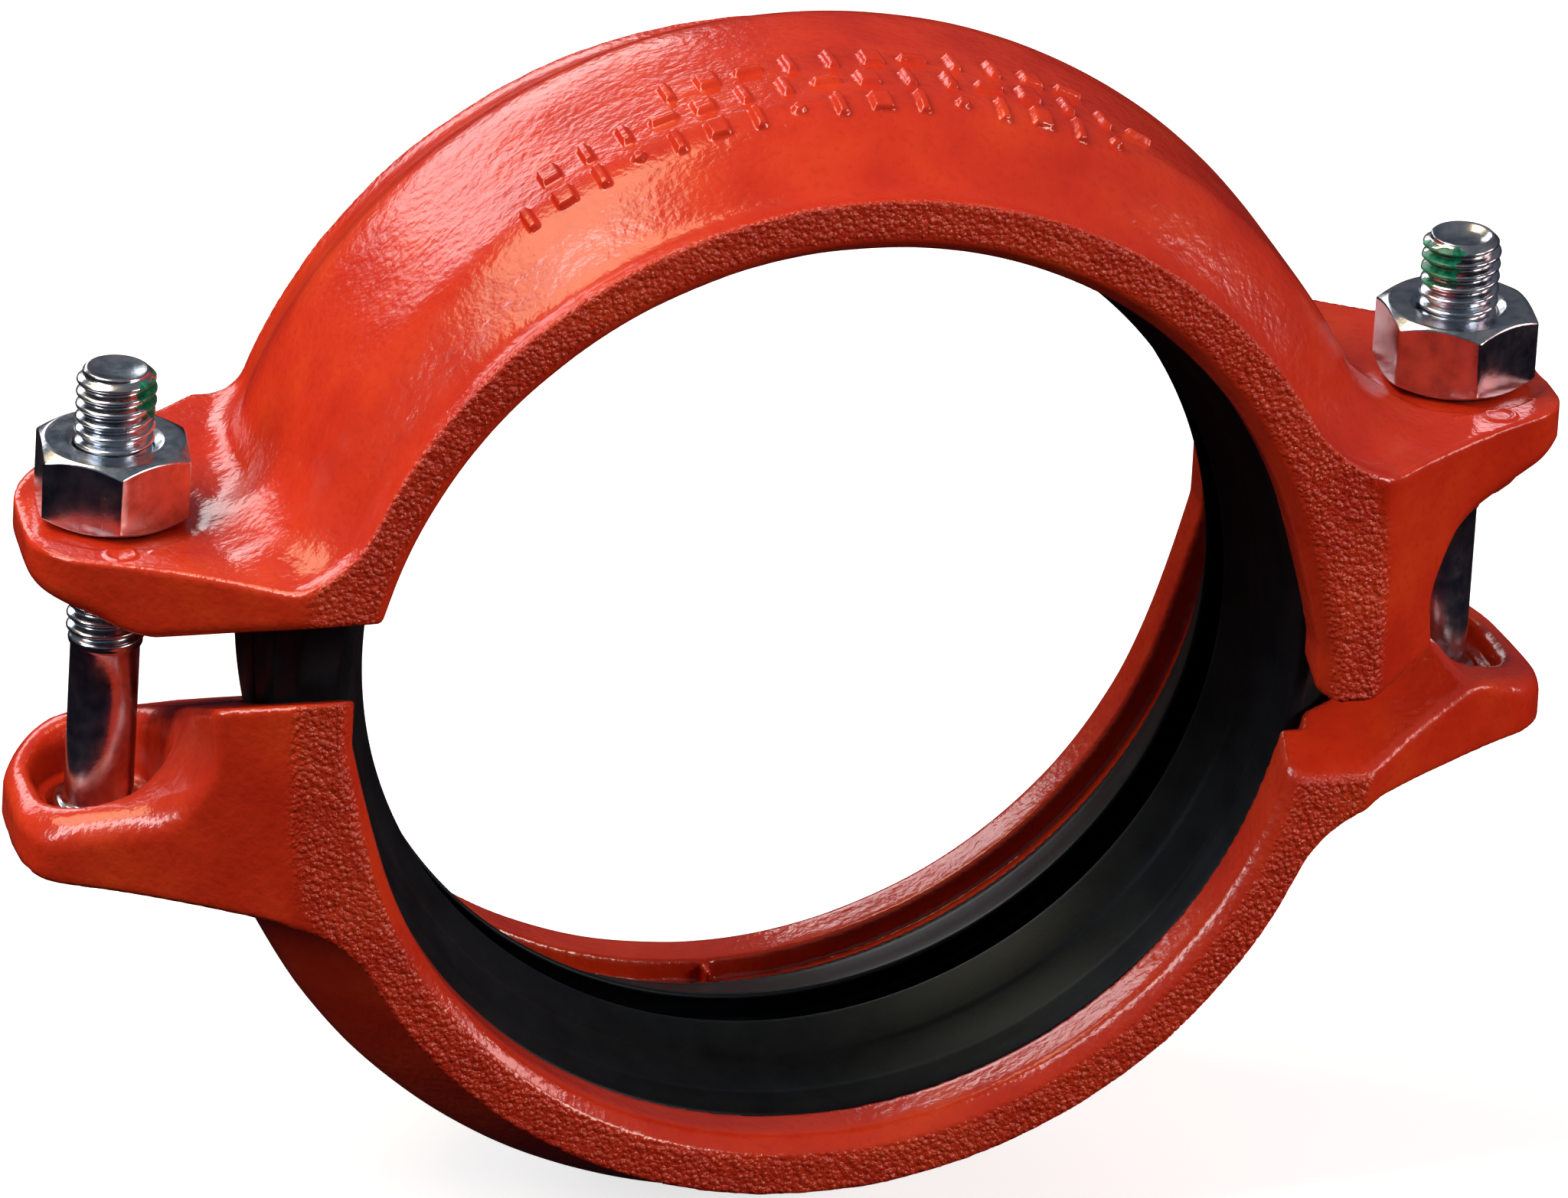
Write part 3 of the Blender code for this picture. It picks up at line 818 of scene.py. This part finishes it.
def build_gasket():
    """The rubber ring: its half section mirrored, then swept round the pipe axis."""
    half = list(GASKET_HALF)
    section = half + [(-y, r, f) for y, r, f in half[-2:0:-1]]
    outline = rounded(section)
    angle = np.arange(GASKET_ACROSS) * 2.0 * math.pi / GASKET_ACROSS
    tooth = np.array(TOOTH)[np.arange(GASKET_ACROSS) % len(TOOTH)]
    rows = []
    for y, r in outline:
        serrated = 15.0 < y < 18.1 and r < 58.7
        radius = r + (tooth if serrated else 0.0)
        rows.append(np.stack([GASKET_CENTRE[0] + radius * np.sin(angle), np.full(len(angle), y),
                              GASKET_CENTRE[1] + radius * np.cos(angle)], axis=1))
    rows.append(rows[0])
    return merged("gasket_ring", [lofted(rows)])


# --------------------------------------------------------------- materials
def add(tree, kind, links=(), **values):
    """A node with its properties and inputs set, and links made to it."""
    made = tree.nodes.new("ShaderNode" + kind)
    for key, value in values.items():
        if hasattr(made, key):
            setattr(made, key, value)
        else:
            made.inputs[key.replace("_", " ")].default_value = value
    for source, socket in links:
        tree.links.new(source, made.inputs[socket])
    return made


def new_material(name):
    """A material, its tree and shader, and object coordinates in mm."""
    material = bpy.data.materials.new(name)
    material.use_nodes = True
    tree = material.node_tree
    shader = tree.nodes["Principled BSDF"]
    coords = add(tree, "TexCoord")
    scaled = add(tree, "Mapping", [(coords.outputs["Object"], "Vector")], Scale=(1000.0, 1000.0, 1000.0))
    return material, tree, shader, scaled.outputs["Vector"]


def noise_node(tree, vector, size, detail=2.0, rough=0.5):
    """Noise whose features are about size mm across."""
    return add(tree, "TexNoise", [(vector, "Vector")], Scale=1.0 / size, Detail=detail,
               Roughness=rough).outputs["Fac"]


def ramp(tree, value, stops):
    node = add(tree, "ValToRGB", [(value, "Fac")])
    marks = node.color_ramp.elements
    while len(marks) < len(stops):
        marks.new(0.5)
    for mark, (place, colour) in zip(marks, stops):
        mark.position = place
        mark.color = (*colour, 1.0)
    return node.outputs["Color"]


def multiply_add(tree, value, gain, offset):
    """value times gain, plus offset."""
    node = tree.nodes.new("ShaderNodeMath")
    node.operation = "MULTIPLY_ADD"
    tree.links.new(value, node.inputs[0])
    node.inputs[1].default_value = gain
    node.inputs[2].default_value = offset
    return node.outputs[0]


def combine(tree, operation, a, b):
    node = tree.nodes.new("ShaderNodeMath")
    node.operation = operation
    tree.links.new(a, node.inputs[0])
    tree.links.new(b, node.inputs[1])
    return node.outputs[0]


def mixed(tree, fac, a, b, blend="MIX"):
    node = tree.nodes.new("ShaderNodeMix")
    node.data_type = "RGBA"
    node.blend_type = blend
    for socket, value in ((node.inputs[0], fac), (node.inputs[6], a), (node.inputs[7], b)):
        if isinstance(value, bpy.types.NodeSocket):
            tree.links.new(value, socket)
        else:
            socket.default_value = value if not isinstance(value, tuple) else (*value, 1.0)
    return node.outputs[2]


def bump(tree, height, distance_mm, strength):
    """Normals of a surface raised by height, which counts distance_mm per unit."""
    return add(tree, "Bump", [(height, "Height")], Strength=strength,
               Distance=distance_mm * MM).outputs["Normal"]


def paint_material(name):
    """Orange-red enamel over a sand casting: glossy, pebbled, rougher on the rims, with painted shade in the
    pebbles' hollows and painted highlights on the tops of the rims' grit.
    """
    material, tree, shader, vector = new_material(name)
    rim = add(tree, "Attribute", attribute_name="rim", attribute_type="GEOMETRY").outputs["Fac"]
    broad = noise_node(tree, vector, 11.0, 3.0)
    pebbles = noise_node(tree, vector, 1.0, 2.0, 0.5)
    fine = noise_node(tree, vector, 0.34, 2.0, 0.6)
    lumps = noise_node(tree, vector, 3.2, 2.0)
    grit = add(tree, "TexVoronoi", [(vector, "Vector")], feature="SMOOTH_F1", Scale=1.5,
               Smoothness=0.35).outputs["Distance"]

    colour = ramp(tree, broad, [(0.30, (0.600, 0.028, 0.008)), (0.52, (0.690, 0.040, 0.010)),
                                (0.72, (0.770, 0.060, 0.012))])
    # Painted shade: where the pebble noise is low, in the hollows of the bump, the paint is darkened towards
    # deep crimson.
    hollow_shade = ramp(tree, pebbles, [(0.30, (1.0, 1.0, 1.0)), (0.46, (0.0, 0.0, 0.0))])
    colour = mixed(tree, multiply_add(tree, hollow_shade, 0.20, 0.0), colour, (0.420, 0.014, 0.004))
    # Painted highlight: on the rims, the tops of the grit bumps are lightened towards a bright orange.
    pale = ramp(tree, grit, [(0.10, (1.0, 1.0, 1.0)), (0.34, (0.0, 0.0, 0.0))])
    rim_grit_highlight = combine(tree, "MULTIPLY", rim, multiply_add(tree, pale, 0.55, 0.0))
    colour = mixed(tree, rim_grit_highlight, colour, (0.860, 0.140, 0.050))
    tree.links.new(colour, shader.inputs["Base Color"])

    gloss = combine(tree, "ADD", multiply_add(tree, noise_node(tree, vector, 4.5, 3.0), 0.18, 0.11),
                    multiply_add(tree, rim, 0.08, 0.0))
    tree.links.new(gloss, shader.inputs["Roughness"])
    shader.inputs["Specular IOR Level"].default_value = 0.70

    height = combine(tree, "ADD", multiply_add(tree, pebbles, 0.75, 0.0), multiply_add(tree, fine, 0.08, 0.0))
    height = combine(tree, "ADD", height, multiply_add(tree, lumps, 1.0, 0.0))
    rough = combine(tree, "ADD", multiply_add(tree, grit, -1.6, 0.0), fine)
    rough_rim = combine(tree, "MULTIPLY", rim, rough)
    height = combine(tree, "ADD", height, multiply_add(tree, rough_rim, 1.6, 0.0))
    tree.links.new(bump(tree, height, 0.14, 0.9), shader.inputs["Normal"])
    return material


def zinc_material(name):
    """Clear zinc plate: bluish, patchy, with faint scratches."""
    material, tree, shader, vector = new_material(name)
    patches = noise_node(tree, vector, 2.4, 4.0, 0.6)
    fine = noise_node(tree, vector, 0.35, 3.0, 0.6)
    colour = ramp(tree, patches, [(0.32, (0.46, 0.52, 0.58)), (0.50, (0.66, 0.70, 0.74)),
                                  (0.68, (0.80, 0.80, 0.80))])
    tint = ramp(tree, noise_node(tree, vector, 5.0, 2.0),
                [(0.40, (0.86, 0.93, 1.0)), (0.62, (1.0, 0.96, 0.98))])
    tree.links.new(mixed(tree, 1.0, colour, tint, "MULTIPLY"), shader.inputs["Base Color"])
    shader.inputs["Metallic"].default_value = 1.0
    gloss = combine(tree, "ADD", multiply_add(tree, patches, 0.22, 0.06),
                    multiply_add(tree, fine, 0.08, 0.0))
    tree.links.new(gloss, shader.inputs["Roughness"])
    stretched = add(tree, "Mapping", [(vector, "Vector")], Scale=(3.2, 3.2, 0.22), Rotation=(0.5, 0.35, 0.2))
    scratches = ramp(tree, noise_node(tree, stretched.outputs["Vector"], 1.2, 2.0),
                     [(0.70, (0.0, 0.0, 0.0)), (0.74, (1.0, 1.0, 1.0))])
    dents = noise_node(tree, vector, 1.6, 2.0)
    height = combine(tree, "ADD", multiply_add(tree, fine, 0.5, 0.0),
                     multiply_add(tree, scratches, -0.5, 0.0))
    height = combine(tree, "ADD", height, multiply_add(tree, dents, 1.2, 0.0))
    tree.links.new(bump(tree, height, 0.03, 0.6), shader.inputs["Normal"])
    return material


def rubber_material(name):
    """Moulded black rubber with a dusty bloom."""
    material, tree, shader, vector = new_material(name)
    bloom = noise_node(tree, vector, 6.0, 4.0, 0.6)
    fine = noise_node(tree, vector, 0.4, 3.0, 0.6)
    colour = ramp(tree, bloom, [(0.35, (0.0065, 0.0072, 0.0085)), (0.65, (0.012, 0.0145, 0.017))])
    dust = ramp(tree, noise_node(tree, vector, 0.5, 1.0), [(0.73, (0.0, 0.0, 0.0)), (0.80, (1.0, 1.0, 1.0))])
    colour = mixed(tree, multiply_add(tree, dust, 0.10, 0.0), colour, (0.10, 0.11, 0.12))
    tree.links.new(colour, shader.inputs["Base Color"])
    tree.links.new(multiply_add(tree, bloom, 0.16, 0.34), shader.inputs["Roughness"])
    shader.inputs["Specular IOR Level"].default_value = 0.20
    shader.inputs["Specular Tint"].default_value = (0.62, 0.84, 1.0, 1.0)
    tree.links.new(bump(tree, fine, 0.03, 0.5), shader.inputs["Normal"])
    return material


def patch_material(name):
    """Green locking compound, glossy where it is thick."""
    material, tree, shader, vector = new_material(name)
    blotch = noise_node(tree, vector, 0.8, 3.0, 0.6)
    colour = ramp(tree, blotch, [(0.35, (0.0, 0.105, 0.050)), (0.60, (0.004, 0.26, 0.13)),
                                 (0.75, (0.06, 0.45, 0.27))])
    tree.links.new(colour, shader.inputs["Base Color"])
    tree.links.new(multiply_add(tree, blotch, 0.3, 0.16), shader.inputs["Roughness"])
    tree.links.new(bump(tree, noise_node(tree, vector, 0.5, 3.0), 0.08, 0.6), shader.inputs["Normal"])
    return material


def dress(obj, material):
    obj.data.materials.clear()
    obj.data.materials.append(material)


# ------------------------------------------------------------------- stage
def white_surface(name, colour, glow):
    material = bpy.data.materials.new(name)
    material.use_nodes = True
    shader = material.node_tree.nodes["Principled BSDF"]
    shader.inputs["Base Color"].default_value = (*colour, 1.0)
    shader.inputs["Roughness"].default_value = 0.9
    shader.inputs["Specular IOR Level"].default_value = 0.1
    shader.inputs["Emission Color"].default_value = (1.0, 1.0, 1.0, 1.0)
    shader.inputs["Emission Strength"].default_value = glow
    return material


FLOOR_R = 4.0                         # metres; the floor is flat to here and curves up beyond
FLOOR_SIDES = 72
WALL_TOP = 6.0


def build_stage():
    """A pale floor that curves up all round into a pale wall."""
    floor_z = CAD_BOX[0][2]
    levels = [(0.02, 0.0), (0.6, 0.0), (3.0, 0.0), (FLOOR_R, 0.0)]
    for step in range(1, 7):
        turn = math.radians(15.0 * step)
        levels.append((FLOOR_R + math.sin(turn), 1.0 - math.cos(turn)))
    levels.append((FLOOR_R + 1.0, WALL_TOP))
    angle = np.arange(FLOOR_SIDES) * 2.0 * math.pi / FLOOR_SIDES
    rows = np.array([np.stack([r * np.cos(angle), r * np.sin(angle), np.full(FLOOR_SIDES, floor_z + z)],
                              axis=1) / MM for r, z in levels])
    points, faces = lofted(rows)
    faces = [f[::-1] for f in faces] + [tuple(range(FLOOR_SIDES))]
    floor = new_object("pale_floor", points, faces)
    dress(floor, white_surface("pale_floor", (0.80, 0.80, 0.80), 0.72))
    floor.visible_glossy = False
    floor.visible_diffuse = False


# Lights: name, place and aim in metres, width, height, watts and colour.
LIGHTS = (
    ("left_strip", (-0.96, -0.14, 0.80), (-0.02, 0.0, 0.0), 0.30, 1.25, 11.0, (1.0, 0.93, 0.92)),
    ("top_left", (-0.62, 0.42, 1.15), (0.0, 0.0, 0.0), 0.8, 0.8, 9.5, (1.0, 0.78, 0.48)),
    ("front_fill", (1.05, -1.10, 0.50), (0.0, 0.0, 0.0), 0.6, 0.4, 10.0, (1.0, 0.84, 0.74)),
    ("right", (1.3, -0.25, 0.45), (0.02, 0.0, 0.0), 0.4, 0.4, 4.0, (1.0, 0.62, 0.58)),
    ("behind", (-0.3, 1.6, 0.55), (0.0, 0.0, 0.0), 1.0, 0.5, 5.0, (1.0, 0.96, 0.96)),
)
SKY_STRENGTH = 0.35


def build_lights():
    """Soft panels, and a sky that darkens towards the ground."""
    for name, place, aim, width, height, watts, colour in LIGHTS:
        data = bpy.data.lights.new(name, "AREA")
        data.shape = "RECTANGLE"
        data.size = width
        data.size_y = height
        data.energy = watts
        data.color = colour
        light = bpy.data.objects.new(name, data)
        bpy.context.scene.collection.objects.link(light)
        light.location = place
        light.rotation_euler = (Vector(aim) - Vector(place)).to_track_quat("-Z", "Y").to_euler()
    world = bpy.data.worlds.new("studio")
    bpy.context.scene.world = world
    world.use_nodes = True
    tree = world.node_tree
    back = tree.nodes["Background"]
    coords = add(tree, "TexCoord")
    split = add(tree, "SeparateXYZ", [(coords.outputs["Generated"], "Vector")])
    sky = ramp(tree, multiply_add(tree, split.outputs["Z"], 0.5, 0.5),
               [(0.22, (0.020, 0.012, 0.020)), (0.44, (0.040, 0.034, 0.055)), (0.60, (0.17, 0.19, 0.24)),
                (0.9, (0.42, 0.44, 0.48))])
    tree.links.new(sky, back.inputs["Color"])
    back.inputs["Strength"].default_value = SKY_STRENGTH


# ------------------------------------------------------------------ camera
# The viewing angle. Its distance and offsets are for a key bore of VIEW_KEY_R and scale with the bore.
VIEW_TURN = math.radians(-17.29)
VIEW_RISE = math.radians(24.95)
VIEW_ROLL = math.radians(3.49)
VIEW_KEY_R = 56.278
VIEW_SCALE = KEY_R / VIEW_KEY_R
VIEW_DISTANCE = 2221.677
VIEW_ASIDE = (0.648, 0.343)
FOCAL = 437.9
SENSOR = 36.0


def build_camera():
    """A long lens at the viewing angle above, rolled slightly about its axis."""
    turn, rise = VIEW_TURN, VIEW_RISE
    right = Vector((math.cos(turn), math.sin(turn), 0.0))
    back = Vector((math.sin(turn) * math.cos(rise), -math.cos(turn) * math.cos(rise), math.sin(rise)))
    up = back.cross(right)
    place = (right * VIEW_ASIDE[0] + up * VIEW_ASIDE[1] + back * VIEW_DISTANCE) * (VIEW_SCALE * MM)
    side = right * math.cos(VIEW_ROLL) + up * math.sin(VIEW_ROLL)
    above = up * math.cos(VIEW_ROLL) - right * math.sin(VIEW_ROLL)
    data = bpy.data.cameras.new("camera")
    data.lens = FOCAL
    data.sensor_width = SENSOR
    data.clip_start = 0.05
    data.clip_end = 50.0
    camera = bpy.data.objects.new("camera", data)
    bpy.context.scene.collection.objects.link(camera)
    camera.matrix_world = Matrix(((side.x, above.x, back.x, place.x), (side.y, above.y, back.y, place.y),
                                  (side.z, above.z, back.z, place.z), (0.0, 0.0, 0.0, 1.0)))
    bpy.context.scene.camera = camera


# -------------------------------------------------------------------- main
# Side, depth and radius of the cup in the bolt's tip, middle of the patch in degrees, noise seed.
BOLTS = (("left", 0.30, 2.9, -15.0, 11), ("right", 0.85, 3.25, -150.0, 21))


def main():
    bpy.context.scene.view_settings.view_transform = "Standard"
    build_camera()
    build_lights()
    build_stage()

    upper, lower = build_castings()
    dress(upper, paint_material("upper_enamel"))
    dress(lower, paint_material("lower_enamel"))
    for piece, node, body, slot in ((upper, "upper_housing", "upper_body", "upper_paint"),
                                    (lower, "lower_housing", "lower_body", "lower_paint")):
        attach(piece, body)
        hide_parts(node)

    gasket = build_gasket()
    dress(gasket, rubber_material("gasket_black"))
    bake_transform(gasket)
    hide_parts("gasket")

    zinc_bolt, zinc_nut = zinc_material("bolt_plate"), zinc_material("nut_plate")
    green = patch_material("locking_green")
    for side, cup_depth, cup_r, middle, seed in BOLTS:
        node = side + "_track_bolt"
        bolt = build_bolt(side + "_bolt_threaded", node, cup_depth, cup_r)
        dress(bolt, zinc_bolt)
        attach(bolt, "lower_body")
        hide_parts(node)
        patch = build_patch(side + "_locking_patch", node, middle, seed)
        dress(patch, green)
        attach(patch, "lower_body")
        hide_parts(side + "_thread_patch")
        nut = build_nut(side + "_nut_chamfered", side + "_hex_nut")
        dress(nut, zinc_nut)
        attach(nut, side + "_nut")
        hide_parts(side + "_hex_nut")


main()
